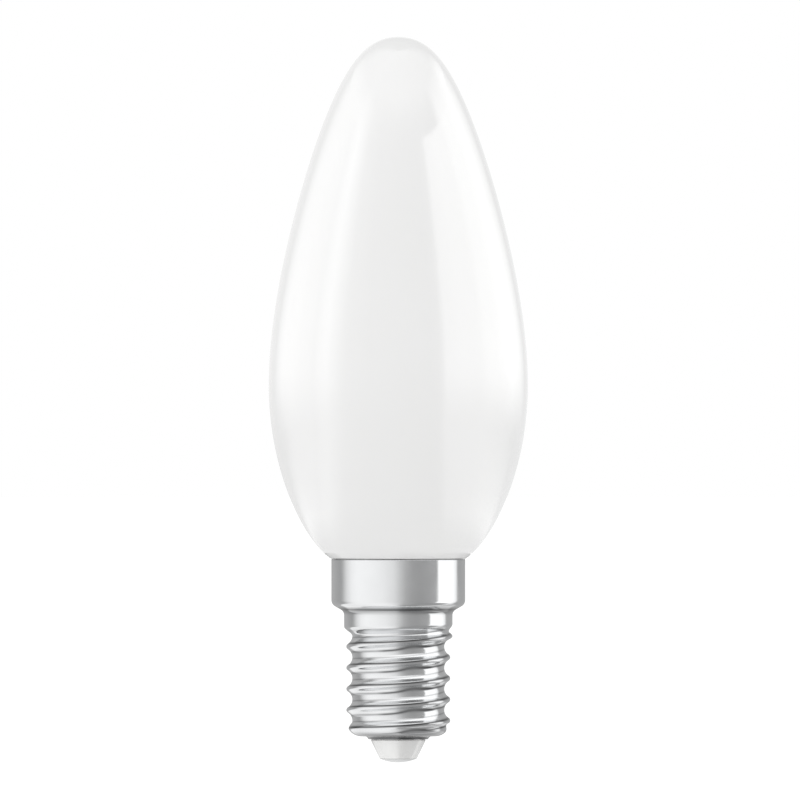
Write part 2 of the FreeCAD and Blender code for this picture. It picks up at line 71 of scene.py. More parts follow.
# The glass. Its outline is drawn by pull points: straight above and below the belly, on the flank at
# (radius, drop below the top), beside the tip, and over the throat at (radius, height above the rim).
GLASS_RADIUS = 17.34 * MM
BELLY_HEIGHT = 50.5 * MM
UPPER_BELLY_PULL = 16.96 * MM
FLANK_PULL = (9.55 * MM, 9.15 * MM)
TIP_PULL = 7.39 * MM
LOWER_BELLY_PULL = 11.37 * MM
THROAT_PULL = (12.66 * MM, 2.3 * MM)
OVERHANG = 0.05 * MM
GLASS_NECK_RADIUS = 8.0 * MM
GLASS_NECK_ROUND = 0.6 * MM
SEAL_HEIGHT = 21.6 * MM
SEAL_ROUND = 1.2 * MM
SEAL_FILLET = 0.2 * MM
STUB_RADIUS = 2.0 * MM
# The melted tip of the exhaust stub, as (radius, height above its end)
STUB_TIP = [(0.5 * MM, 0.0), (1.2 * MM, 0.25 * MM), (1.75 * MM, 0.7 * MM), (STUB_RADIUS, 1.3 * MM)]

# The cap's sheet
WALL = 0.3 * MM
COLLAR_RADIUS = 8.95 * MM
COLLAR_FOOT = 21.15 * MM
COLLAR_FOOT_ROUND = 0.95 * MM
COLLAR_FLAT_FROM = COLLAR_FOOT + 1.2 * MM
NECK_RADIUS = 7.25 * MM
NECK_TOP = 20.18 * MM
NECK_TOP_ROUND = 0.87 * MM
BOTTOM_HEIGHT = 3.5 * MM
BOTTOM_ROUND = 2.0 * MM
LIP_RADIUS = 4.2 * MM
# The rim's edge, as (inset from the collar's face, drop below the rim)
RIM_EDGE = [(0.07 * MM, 0.0), (0.02 * MM, 0.03 * MM), (0.0, 0.09 * MM), (0.0, 0.15 * MM), (0.0, 0.25 * MM)]
# The turned-down lip round the moulding, as (reach past its radius, drop below the bottom)
TURNED_LIP = [(0.35 * MM, 0.0), (0.12 * MM, 0.03 * MM), (-0.02 * MM, 0.12 * MM), (-0.24 * MM, 0.40 * MM)]

# The rolled thread. A travel is a height on the sheet that goes on round its bottom edge.
PITCH = 2.822 * MM
CREST_RADIUS = 6.95 * MM
ROOT_RADIUS = 6.15 * MM
CREST_ROUND = 0.38 * MM
CREST_HEIGHT = 14.06 * MM
THREAD_TOP = 19.2 * MM
THREAD_END = BOTTOM_HEIGHT + BOTTOM_ROUND * (1 - math.pi / 2)
SWELL_TO_NECK = (15.4 * MM, 16.9 * MM)
RUN_OUT = (16.9 * MM, 18.5 * MM)
RUN_IN = (3.8 * MM, 5.4 * MM)

# Painted shade on the plate at edges and in corners: 0 is bare plate, 1 is the darkest.
RIM_LINE_DROP = 0.05 * MM
RIM_LINE_WIDTH = 0.07 * MM
RIM_LINE_DARKNESS = 0.7
SHOULDER_LINE_HEIGHT = 20.45 * MM
SHOULDER_LINE_WIDTH = 0.16 * MM
SHOULDER_LINE_DARKNESS = 0.93
SHOULDER_SHADE_REACH = 0.9 * MM
SHOULDER_SHADE_SHARE = 0.6
BOTTOM_SHADE_REACH = 0.8 * MM
BOTTOM_SHADE_DARKNESS = 0.85

# Painted shade and painted dark reflections on the thread: one line at each crest, one above it and one in
# the groove below it.
THREAD_LINES_RUN_IN = (3.2 * MM, 4.0 * MM)
THREAD_LINE_WIDTH = 0.13 * MM
CREST_LINE_LIFT = 0.06 * MM
CREST_LINE_SIDE_LIFT = 0.30 * MM
UPPER_LINE_LIFT = 0.78 * MM
UPPER_LINE_WIDTH = 0.09 * MM
UPPER_LINE_DARKNESS = 0.45
GROOVE_LINE_DROP = 1.15 * MM
# Across the cap, from -1 at the left to 1 at the right, the groove's line grows darker past the left
# part, and in a patch right of the middle it rises, spreads and softens.
GROOVE_DARKNESS_LEFT = 0.55
GROOVE_DARKNESS_GAIN = 0.4
GROOVE_GAIN_ACROSS = (-0.5, -0.25)
PATCH_MIDDLE = 0.3
PATCH_HALF_WIDTH = 0.25
PATCH_RISE = 0.28 * MM
PATCH_SPREAD = 0.1 * MM
PATCH_SOFTENING = 0.38

# The moulding and the contact
BORE_RADIUS = 0.85 * MM
CONE_FOOT_RADIUS = 2.45 * MM
CONE_FOOT_ROUND = 0.12 * MM
CONE_TOP_RADIUS = 3.7 * MM
CONE_TOP_ROUND = 0.08 * MM
CONE_TOP_DROP = 0.47 * MM
THROAT_RADIUS = 3.59 * MM
SEAT_GAP = 0.05 * MM
FLANGE_RADIUS = 5.6 * MM
# The flange's lower edge, as (inset from its radius, height above its seat)
FLANGE_EDGE = [(0.5 * MM, 0.0), (0.15 * MM, 0.15 * MM), (0.0, 0.5 * MM)]
DOME_HEIGHT = 0.5 * MM
SHANK_RADIUS = 0.8 * MM
SHANK_BEVEL = 0.2 * MM

# Points of the meshes
GLASS_SEGMENTS = 160
SHELL_SEGMENTS = 192
SMALL_SEGMENTS = 96
LOWER_GLASS_STEPS = 48
UPPER_GLASS_STEPS = 84
GLASS_ROUND_STEPS = 8
SHELL_ROUND_STEPS = 14
CONE_FOOT_STEPS = 5
CONE_TOP_STEPS = 4
DOME_STEPS = 16
THREAD_ROWS = 190
MERGE_WITHIN = 0.001 * MM

# The camera. Pixels are the photograph's, from its top left corner.
IMAGE_WIDTH = 800
PIXELS_PER_METRE = 7480
AXIS_PIXEL = 398.3
FOOT_PIXEL = 762.4
CAMERA_DISTANCE = 3.0
SENSOR = 36.0
NEAREST_SEEN = 0.01
FARTHEST_SEEN = 50.0

# The room: how bright it is as light on the bulb, and where it is seen or mirrored
ROOM_FILL = 0.82
ROOM_SEEN = 1.0
FLOOR_SIDE = 30.0
FLOOR_HEIGHT = -30 * MM
FLOOR_GLOW = 0.1
FLOOR_GLOW_SEEN = 0.4
SOFT_BOX_PLACE = (-0.25, -0.6, 1.0)
SOFT_BOX_AIM = (0, 0, 0.05)
SOFT_BOX_SIDE = 0.8
SOFT_BOX_POWER = 2.2

# The screens round the bulb. The light of one part passes to the next between two heights.
BRIGHTEST = 5.0
SCREEN_RADIUS = 60 * MM
SCREEN_MIDDLE = 1 * MM
TABLE_HEIGHT = -25 * MM
TABLE_TO_WALL = (-14 * MM, -8 * MM)
SKY_RADIUS = 10 * MM
SKY_HEIGHT = 27.5 * MM
SKY_EDGE_HEIGHT = 33.5 * MM
SKY_TO_WALL = (SKY_HEIGHT + 1.5 * MM, SKY_HEIGHT + 4 * MM)
SHELF_HEIGHT = 27.8 * MM
SHELF_EDGE_HEIGHT = 34.2 * MM
SHELF_TO_BOXES = (SHELF_HEIGHT, SHELF_HEIGHT + 1.2 * MM)
BOXES_FULL_FROM = 58 * MM
RIGHT_BOX_TOP = 121.5 * MM
LEFT_BOX_TOP = 152 * MM
CEILING_HEIGHT = 220 * MM

# Light by direction, as (degrees from the camera's side, positive to the right, brightness).
# The collar shows from left to right a grey edge, a broad pale wall that fades to grey past the middle,
# and one white strip.
CAP_LIGHT = [
    (-180, 0.45), (-140, 0.45), (-112, 0.38), (-106, 0.44), (-94, 0.80), (-82, 1.0), (-69, 1.06),
    (-46, 1.02), (-26, 0.96), (-7, 0.82), (3, 0.62), (12, 0.46), (22, 0.38), (37, 0.35), (52, 0.38),
    (66, 0.42), (69, 1.3), (100, 1.25), (112, 1.0), (117, 0.4), (180, 0.45),
]
# The table under the cap is pale on the left and grey on the right.
CAP_TABLE_LIGHT = [
    (-180, 1.05), (-120, 0.95), (-60, 1.05), (-26, 1.0), (-7, 0.85), (3, 0.64), (12, 0.46), (37, 0.34),
    (98, 0.36), (108, 0.8), (117, 0.8), (126, 0.5), (160, 0.8), (180, 1.05),
]
# The sky over the cap is for the flanks of the thread that face up.
CAP_SKY_LIGHT = [
    (-180, 0.7), (-100, 0.35), (-82, 0.35), (-60, 1.0), (0, 1.3), (60, 1.3), (114, 1.2), (125, 0.5),
    (180, 0.7),
]
# The glass shows a soft box on each side, the right one with a crisp edge.
GLASS_LIGHT = [
    (-180, 1.0), (-128, 1.0), (-112, 2.4), (-95, 3.2), (-76, 3.4), (-72, 3.1), (-66, 3.8), (-59, 4.3),
    (-50, 3.0), (-42, 1.8), (-25, 1.2), (0, 1.0), (26, 1.0), (33, 1.4), (38, 3.4), (52, 4.0), (70, 4.0),
    (76, 4.6), (108, 3.8), (122, 2.3), (136, 1.0), (180, 1.0),
]
# Lower down the boxes are weaker, and under the glass there are none.
GLASS_LOW_LIGHT = [
    (-180, 0.8), (-118, 0.9), (-98, 1.8), (-76, 2.2), (-72, 2.05), (-66, 2.4), (-59, 2.65), (-50, 2.0),
    (-42, 1.4), (-25, 1.1), (0, 1.0), (26, 1.0), (33, 1.2), (38, 2.1), (52, 2.35), (76, 2.45), (98, 1.8),
    (118, 1.0), (180, 0.8),
]
GLASS_SHELF_LIGHT = [(-180, 0.85), (-80, 0.9), (-50, 1.1), (50, 1.1), (80, 0.9), (180, 0.85)]
# Over the top of the right box, only its outer part and the left box go on.
GLASS_TOP_LIGHT = [
    (-180, 0.8), (-140, 0.9), (-118, 2.3), (-95, 3.2), (-75, 3.6), (-59, 3.9), (-50, 3.0), (-42, 2.0),
    (-25, 1.4), (0, 1.1), (60, 1.1), (72, 4.0), (112, 3.8), (128, 2.4), (140, 0.9), (180, 0.8),
]
CEILING_LIGHT = [
    (-180, 0.7), (-140, 0.8), (-105, 2.0), (-60, 2.3), (60, 2.3), (105, 2.0), (140, 0.8), (180, 0.7),
]


# Shaping

def ease(value, start, end):
    """0 at the start, 1 at the end, with no kink at either."""
    share = min(max((value - start) / (end - start), 0.0), 1.0)
    return share * share * (3 - 2 * share)


def line_at(place, middle, half_width):
    """1 in the middle of a soft line and 0 away from it."""
    return math.exp(-((place - middle) / half_width) ** 2)


def pulled_curve(pulls, steps):
    """Points along a smooth curve drawn by its pull points, both ends included."""
    degree = len(pulls) - 1
    points = []
    for step in range(steps + 1):
        share = step / steps
        across = 0.0
        up = 0.0
        for number, (pull_across, pull_up) in enumerate(pulls):
            weight = math.comb(degree, number) * share ** number * (1 - share) ** (degree - number)
            across += weight * pull_across
            up += weight * pull_up
        points.append((across, up))
    return points


def rounded(before, corner, after, radius, steps):
    """Points of the arc that rounds a corner of an outline."""
    corner = Vector(corner)
    toward_before = (Vector(before) - corner).normalized()
    toward_after = (Vector(after) - corner).normalized()
    half = toward_before.angle(toward_after) / 2
    middle = (toward_before + toward_after).normalized()
    centre = corner + middle * (radius / math.sin(half))
    reach = radius / math.tan(half)
    first = corner + toward_before * reach - centre
    last = corner + toward_after * reach - centre
    # The signed angle is positive clockwise.
    turn = -first.angle_signed(last)
    points = []
    for step in range(steps + 1):
        angle = turn * step / steps
        across = first.x * math.cos(angle) - first.y * math.sin(angle)
        up = first.x * math.sin(angle) + first.y * math.cos(angle)
        points.append((centre.x + across, centre.y + up))
    return points


def drawn_up(name, levels, segments, close_start=True, close_end=True):
    """A round piece drawn up ring by ring through levels of (radius, height)."""
    bpy.ops.object.select_all(action="DESELECT")
    radius, height = levels[0]
    bpy.ops.mesh.primitive_circle_add(vertices=segments, radius=radius, location=(0, 0, height),
                                      fill_type="NGON" if close_start else "NOTHING")
    piece = bpy.context.object
    piece.name = name
    bpy.ops.object.transform_apply(location=True, rotation=True, scale=True)
    bpy.ops.object.mode_set(mode="EDIT")
    bpy.ops.mesh.select_mode(type="EDGE")
    bpy.ops.mesh.select_all(action="SELECT")
    if close_start:
        bpy.ops.mesh.region_to_loop()
    for next_radius, next_height in levels[1:]:
        bpy.ops.mesh.extrude_edges_move()
        bpy.ops.transform.translate(value=(0, 0, next_height - height))
        share = next_radius / radius
        bpy.ops.transform.resize(value=(share, share, 1), center_override=(0, 0, next_height))
        radius, height = next_radius, next_height
    if close_end:
        bpy.ops.mesh.edge_face_add()
    bpy.ops.mesh.select_all(action="SELECT")
    bpy.ops.mesh.normals_make_consistent(inside=False)
    bpy.ops.object.mode_set(mode="OBJECT")
    return piece


def select_only(piece):
    """Makes the piece the only one that an operator acts on."""
    bpy.ops.object.select_all(action="DESELECT")
    piece.select_set(True)
    bpy.context.view_layer.objects.active = piece


def finish_piece(piece, slot, *nodes, smooth_under=35):
    """Smooth shading, the body it rides on, the nodes it stands for and its material."""
    select_only(piece)
    bpy.ops.object.shade_smooth_by_angle(angle=math.radians(smooth_under))
    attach(piece, "root")
    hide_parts(*nodes)
    piece.data.materials.clear()
    piece.data.materials.append(MATERIALS[slot])


# Materials

# A Mix node has sockets of one name for each kind of data, so its colour sockets go by number.
MIX_FACTOR = 0
MIX_FIRST = 6
MIX_SECOND = 7
MIX_COLOUR = 2
# Most of a noise lies between these two values.
NOISE_SPAN = {"From Min": 0.3, "From Max": 0.7}


def linear(hex_colour):
    """An sRGB hex colour as linear red, green, blue and alpha."""
    parts = [int(hex_colour[place:place + 2], 16) / 255 for place in (1, 3, 5)]
    return tuple(part / 12.92 if part <= 0.04045 else ((part + 0.055) / 1.055) ** 2.4
                 for part in parts) + (1.0,)


def add_node(tree, kind, settings=None, inputs=None):
    """Adds a node with its settings, and its inputs as values or links."""
    node = tree.nodes.new(kind)
    for name, value in (settings or {}).items():
        setattr(node, name, value)
    for name, value in (inputs or {}).items():
        if isinstance(value, bpy.types.NodeSocket):
            tree.links.new(value, node.inputs[name])
        else:
            node.inputs[name].default_value = value
    return node


def new_material(name):
    """An empty material and its node tree."""
    material = bpy.data.materials.new(name)
    material.use_nodes = True
    material.node_tree.nodes.clear()
    return material, material.node_tree


def show(tree, shader):
    """Sends a shader to the material's output."""
    add_node(tree, "ShaderNodeOutputMaterial", None, {"Surface": shader.outputs[0]})


def cloud_of(tree, cell, detail=2.0, stretch=(1, 1, 1)):
    """Cloudy noise on the piece's own coordinates, with cells of a size in metres."""
    place = add_node(tree, "ShaderNodeTexCoord")
    mapping = add_node(tree, "ShaderNodeMapping", None,
                       {"Vector": place.outputs["Object"], "Scale": stretch})
    noise = add_node(tree, "ShaderNodeTexNoise", None,
                     {"Vector": mapping.outputs["Vector"], "Scale": 1 / cell, "Detail": detail})
    return noise.outputs[0]


def opal_glass():
    """Blown glass with a baked opal layer: a milky white body under a clear, very smooth skin.

    Blowing leaves faint waves of about 9 mm in the skin, and what it mirrors bends a little on them.
    """
    material, tree = new_material("opal_glass")
    cloud = cloud_of(tree, 16.7 * MM)
    waves = cloud_of(tree, 9.1 * MM, 1.0)
    colour = add_node(tree, "ShaderNodeMix", {"data_type": "RGBA"}, {
        MIX_FACTOR: cloud, MIX_FIRST: linear("#EDEDEC"), MIX_SECOND: linear("#F1F1F1"),
    })
    roughness = add_node(tree, "ShaderNodeMapRange", None,
                         {"Value": cloud, **NOISE_SPAN, "To Min": 0.05, "To Max": 0.08})
    bump = add_node(tree, "ShaderNodeBump", None,
                    {"Height": waves, "Strength": 0.02, "Distance": 0.4 * MM})
    shader = add_node(tree, "ShaderNodeBsdfPrincipled", None, {
        "Base Color": colour.outputs[MIX_COLOUR],
        "Roughness": roughness.outputs["Result"],
        "IOR": 1.5,
        "Normal": bump.outputs[0],
    })
    show(tree, shader)
    return material


def nickel_plate():
    """Bright nickel on formed brass: a mirror with faint forming lines, with painted shade in its creases
    and painted dark reflections along the thread.

    The lines of the rolling tool run round the cap. Real ones are finer than 0.1 mm, so they are drawn
    coarser, about 0.3 mm apart. The plate's tone and gloss change in patches of about 3 mm.
    """
    material, tree = new_material("nickel_plate")
    lines = cloud_of(tree, 25 * MM, 3.0, (1, 1, 90))
    patches = cloud_of(tree, 2.86 * MM)
    # Painted shade and painted dark reflections, one value for each point of the cap, mix the plate toward
    # near black.
    crease = add_node(tree, "ShaderNodeAttribute", {"attribute_name": "crease"})
    plate = add_node(tree, "ShaderNodeMix", {"data_type": "RGBA"}, {
        MIX_FACTOR: patches, MIX_FIRST: linear("#E8E9EA"), MIX_SECOND: linear("#EEEFF0"),
    })
    colour = add_node(tree, "ShaderNodeMix", {"data_type": "RGBA"}, {
        MIX_FACTOR: crease.outputs["Fac"], MIX_FIRST: plate.outputs[MIX_COLOUR],
        MIX_SECOND: linear("#303032"),
    })
    roughness = add_node(tree, "ShaderNodeMapRange", None,
                         {"Value": patches, **NOISE_SPAN, "To Min": 0.10, "To Max": 0.16})
    bump = add_node(tree, "ShaderNodeBump", None,
                    {"Height": lines, "Strength": 0.03, "Distance": 0.04 * MM})
    shader = add_node(tree, "ShaderNodeBsdfPrincipled", None, {
        "Base Color": colour.outputs[MIX_COLOUR],
        "Metallic": 1.0,
        "Roughness": roughness.outputs["Result"],
        "Normal": bump.outputs[0],
    })
    show(tree, shader)
    return material


def white_moulding():
    """Glossy white moulded resin, with the mould's slight orange peel, in cells of about 0.7 mm.

    Its share of metallic isn't a resin's. It stands for the strong gloss that the photograph shows.
    """
    material, tree = new_material("white_moulding")
    peel = cloud_of(tree, 0.714 * MM, 1.0)
    colour = add_node(tree, "ShaderNodeMix", {"data_type": "RGBA"}, {
        MIX_FACTOR: peel, MIX_FIRST: linear("#F1F1F0"), MIX_SECOND: linear("#F5F5F4"),
    })
    bump = add_node(tree, "ShaderNodeBump", None,
                    {"Height": peel, "Strength": 0.05, "Distance": 0.05 * MM})
    shader = add_node(tree, "ShaderNodeBsdfPrincipled", None, {
        "Base Color": colour.outputs[MIX_COLOUR],
        "Metallic": 0.3,
        "Roughness": 0.18,
        "Normal": bump.outputs[0],
    })
    show(tree, shader)
    return material


def tinned(name, low, high, roughness):
    """Hot-tinned metal, cloudy in cells of about 1 mm, as the tin ran."""
    material, tree = new_material(name)
    cloud = cloud_of(tree, 1.11 * MM, 3.0)
    colour = add_node(tree, "ShaderNodeMix", {"data_type": "RGBA"},
                      {MIX_FACTOR: cloud, MIX_FIRST: linear(low), MIX_SECOND: linear(high)})
    gloss = add_node(tree, "ShaderNodeMapRange", None, {
        "Value": cloud, **NOISE_SPAN, "To Min": roughness - 0.05, "To Max": roughness + 0.08,
    })
    bump = add_node(tree, "ShaderNodeBump", None,
                    {"Height": cloud, "Strength": 0.15, "Distance": 0.05 * MM})
    shader = add_node(tree, "ShaderNodeBsdfPrincipled", None, {
        "Base Color": colour.outputs[MIX_COLOUR],
        "Metallic": 1.0,
        "Roughness": gloss.outputs["Result"],
        "Normal": bump.outputs[0],
    })
    show(tree, shader)
    return material


def tinned_contact():
    """Solder-tinned contact: a soft, slightly cloudy shine."""
    return tinned("tinned_contact", "#C6C7C7", "#DADBDB", 0.3)


def tinned_wire():
    """Tinned copper wire: a little darker and shinier than the contact."""
    return tinned("tinned_wire", "#BDBEBF", "#D2D3D3", 0.25)


def grained(name, low, high, cell, roughness, strength):
    """A moulded, cast or coated finish, whose grain changes its colour and its height."""
    material, tree = new_material(name)
    grain = cloud_of(tree, cell, 4.0)
    colour = add_node(tree, "ShaderNodeMix", {"data_type": "RGBA"},
                      {MIX_FACTOR: grain, MIX_FIRST: linear(low), MIX_SECOND: linear(high)})
    bump = add_node(tree, "ShaderNodeBump", None,
                    {"Height": grain, "Strength": strength, "Distance": 0.08 * MM})
    shader = add_node(tree, "ShaderNodeBsdfPrincipled", None, {
        "Base Color": colour.outputs[MIX_COLOUR],
        "Roughness": roughness,
        "Normal": bump.outputs[0],
    })
    show(tree, shader)
    return material


def capping_cement():
    """Gypsum and resin cement: dull and pale brown, with sandy grains of 0.4 mm."""
    return grained("capping_cement", "#B3A891", "#CBC2AE", 0.4 * MM, 0.9, 0.6)


def board_laminate():
    """Glass-epoxy laminate under a cream mask: the cloth's yarns, 0.56 mm, show as a faint grain."""
    return grained("board_laminate", "#DCDCCB", "#E6E6D8", 0.556 * MM, 0.45, 0.1)


def capacitor_sleeve():
    """Shrunk polyester sleeve: smooth and black, with soft ripples of 1.4 mm."""
    return grained("capacitor_sleeve", "#15161A", "#1E2026", 1.43 * MM, 0.3, 0.05)


def moulded_epoxy():
    """Moulded epoxy: black and matt, with the 0.2 mm texture of an eroded mould."""
    return grained("moulded_epoxy", "#17181A", "#222326", 0.2 * MM, 0.6, 0.3)


def resistor_coating():
    """Flameproof lacquer: dull green, with a pebbled skin of 0.45 mm cells."""
    return grained("resistor_coating", "#4F6A5C", "#5C7869", 0.4545 * MM, 0.55, 0.3)


MATERIALS = {
    "opal_glass": opal_glass(),
    "nickel_plate": nickel_plate(),
    "white_moulding": white_moulding(),
    "tinned_contact": tinned_contact(),
    "tinned_wire": tinned_wire(),
    "capping_cement": capping_cement(),
    "board_laminate": board_laminate(),
    "capacitor_sleeve": capacitor_sleeve(),
    "moulded_epoxy": moulded_epoxy(),
    "resistor_coating": resistor_coating(),
}


# Pieces

def glass_envelope():
    """The blown glass: exhaust stub, seal, neck, turned-in foot and candle body."""
    stub_top = (STUB_RADIUS, SEAL_HEIGHT)
    seal_edge = (GLASS_NECK_RADIUS, SEAL_HEIGHT)
    rim = (COLLAR_RADIUS + OVERHANG, RIM_HEIGHT + OVERHANG)
    neck_top = (GLASS_NECK_RADIUS, rim[1])
    belly = (GLASS_RADIUS, BELLY_HEIGHT)
    levels = [(radius, STUB_END + height) for radius, height in STUB_TIP]
    levels += [(STUB_RADIUS, SEAL_HEIGHT - SEAL_FILLET), (STUB_RADIUS + SEAL_FILLET, SEAL_HEIGHT)]
    levels += rounded(stub_top, seal_edge, neck_top, SEAL_ROUND, GLASS_ROUND_STEPS)
    levels += rounded(seal_edge, neck_top, rim, GLASS_NECK_ROUND, GLASS_ROUND_STEPS)
    levels.append(rim)
    lower = pulled_curve([
        rim,
        (THROAT_PULL[0], rim[1] + THROAT_PULL[1]),
        (GLASS_RADIUS, BELLY_HEIGHT - LOWER_BELLY_PULL),
        belly,
    ], LOWER_GLASS_STEPS)
    upper = pulled_curve([
        belly,
        (GLASS_RADIUS, BELLY_HEIGHT + UPPER_BELLY_PULL),
        (FLANK_PULL[0], GLASS_TOP - FLANK_PULL[1]),
        (TIP_PULL, GLASS_TOP),
        (0.0, GLASS_TOP),
    ], UPPER_GLASS_STEPS)
    # Both curves hold the belly, and a small face closes the tip.
    levels += lower[1:] + upper[1:-1]
    piece = drawn_up("opal_candle_glass", levels, GLASS_SEGMENTS)
    finish_piece(piece, "opal_glass", "glass_envelope", smooth_under=60)


def thread_dip(above_crest):
    """How deep the rolled groove is at a height above a crest: a round crest in a round groove."""
    half = PITCH / 2
    depth = CREST_RADIUS - ROOT_RADIUS
    away = abs((above_crest + half) % PITCH - half)
    root_round = (half ** 2 + depth ** 2) / (2 * depth) - CREST_ROUND
    if away <= half * CREST_ROUND / (CREST_ROUND + root_round):
        return CREST_ROUND - math.sqrt(CREST_ROUND ** 2 - away ** 2)
    return depth - root_round + math.sqrt(root_round ** 2 - (half - away) ** 2)


def thread_place(travel):
    """Point of the unthreaded sheet at a travel along it, and the way it faces."""
    corner = BOTTOM_HEIGHT + BOTTOM_ROUND
    if travel >= corner:
        swell = (NECK_RADIUS - CREST_RADIUS) * ease(travel, *SWELL_TO_NECK)
        return (CREST_RADIUS + swell, travel), (1.0, 0.0)
    angle = min((corner - travel) / BOTTOM_ROUND, math.pi / 2)
    facing = (math.cos(angle), -math.sin(angle))
    middle = CREST_RADIUS - BOTTOM_ROUND
    return (middle + BOTTOM_ROUND * facing[0], corner + BOTTOM_ROUND * facing[1]), facing


def painted_ring_shade(height):
    """How much painted shade the plate gets under the rim, in the shoulder's corner and at the bottom."""
    under_rim = line_at(height, RIM_HEIGHT - RIM_LINE_DROP, RIM_LINE_WIDTH)
    in_corner = line_at(height, SHOULDER_LINE_HEIGHT, SHOULDER_LINE_WIDTH)
    shade_foot = SHOULDER_LINE_HEIGHT - SHOULDER_SHADE_REACH
    if shade_foot < height < SHOULDER_LINE_HEIGHT:
        in_corner = max(in_corner, SHOULDER_SHADE_SHARE * ease(height, shade_foot, SHOULDER_LINE_HEIGHT))
    at_bottom = 1 - ease(height, BOTTOM_HEIGHT, BOTTOM_HEIGHT + BOTTOM_SHADE_REACH)
    return max(RIM_LINE_DARKNESS * under_rim, SHOULDER_LINE_DARKNESS * in_corner,
               BOTTOM_SHADE_DARKNESS * at_bottom)


def painted_thread_shade(above_crest, across):
    """How much painted shade and dark reflection the thread gets, at a height above a crest and a place
    across the cap.
    """
    place = (above_crest + PITCH / 2) % PITCH - PITCH / 2
    patch = line_at(across, PATCH_MIDDLE, PATCH_HALF_WIDTH)
    crest_line = CREST_LINE_LIFT + CREST_LINE_SIDE_LIFT * across ** 2
    groove_line = crest_line - GROOVE_LINE_DROP + PATCH_RISE * patch
    groove_width = THREAD_LINE_WIDTH + PATCH_SPREAD * patch
    groove_darkness = GROOVE_DARKNESS_LEFT + GROOVE_DARKNESS_GAIN * ease(across, *GROOVE_GAIN_ACROSS)
    groove_darkness *= 1 - PATCH_SOFTENING * patch
    return max(line_at(place, crest_line, THREAD_LINE_WIDTH),
               groove_darkness * line_at(place, groove_line, groove_width),
               UPPER_LINE_DARKNESS * line_at(place, crest_line + UPPER_LINE_LIFT, UPPER_LINE_WIDTH))


def roll_thread(piece, first_ring, travels):
    """Sinks the rings' points along the sheet's own facing by the helix, and paints shade and dark
    reflections on its lines.
    """
    crease = piece.data.attributes["crease"].data
    for number, travel in enumerate(travels, first_ring):
        (radius, height), facing = thread_place(travel)
        run_out = 1 - ease(travel, *RUN_OUT)
        fade = run_out * ease(travel, *RUN_IN)
        lines_fade = run_out * ease(travel, *THREAD_LINES_RUN_IN)
        # Where the sheet swells to the neck, the groove is deeper by as much.
        swell = max(radius - CREST_RADIUS, 0) if facing[0] == 1.0 else 0
        deeper = 1 + swell / (CREST_RADIUS - ROOT_RADIUS)
        start = number * SHELL_SEGMENTS
        for vertex in piece.data.vertices[start:start + SHELL_SEGMENTS]:
            angle = math.atan2(vertex.co.y, vertex.co.x)
            above_crest = travel - CREST_HEIGHT - PITCH * angle / (2 * math.pi)
            darkness = lines_fade * painted_thread_shade(above_crest, math.cos(angle))
            crease[vertex.index].value = max(crease[vertex.index].value, darkness)
            sink = fade * thread_dip(above_crest) * deeper
            out = radius - sink * facing[0]
            vertex.co = (out * math.cos(angle), out * math.sin(angle), height - sink * facing[1])


def cap_shell():
    """The formed sheet: collar, shoulder, neck, helical rolled thread, bottom and lip."""
    rim = (COLLAR_RADIUS, RIM_HEIGHT)
    foot = (COLLAR_RADIUS, COLLAR_FOOT)
    neck = (NECK_RADIUS, NECK_TOP)
    levels = [(COLLAR_RADIUS - inset, RIM_HEIGHT - drop) for inset, drop in RIM_EDGE]
    levels.append((COLLAR_RADIUS, COLLAR_FLAT_FROM))
    levels += rounded(rim, foot, neck, COLLAR_FOOT_ROUND, SHELL_ROUND_STEPS)
    levels += rounded(foot, neck, (NECK_RADIUS, 0), NECK_TOP_ROUND, SHELL_ROUND_STEPS)
    first_thread_ring = len(levels)
    travels = [THREAD_TOP + (THREAD_END - THREAD_TOP) * row / THREAD_ROWS
               for row in range(THREAD_ROWS + 1)]
    levels += [thread_place(travel)[0] for travel in travels]
    levels += [(LIP_RADIUS + reach, BOTTOM_HEIGHT - drop) for reach, drop in TURNED_LIP]
    piece = drawn_up("nickel_screw_cap", levels, SHELL_SEGMENTS, close_start=False, close_end=False)

    # Painted shade for the plate's edges, corners and thread lines, one value for each point.
    crease = piece.data.attributes.new("crease", "FLOAT", "POINT").data
    for vertex in piece.data.vertices:
        crease[vertex.index].value = painted_ring_shade(vertex.co.z)
    roll_thread(piece, first_thread_ring, travels)

    select_only(piece)
    bpy.ops.object.modifier_add(type="SOLIDIFY")
    sheet = piece.modifiers[-1]
    sheet.thickness = WALL
    sheet.offset = -1
    bpy.ops.object.modifier_apply(modifier=sheet.name)
    finish_piece(piece, "nickel_plate", "cap_shell", smooth_under=60)


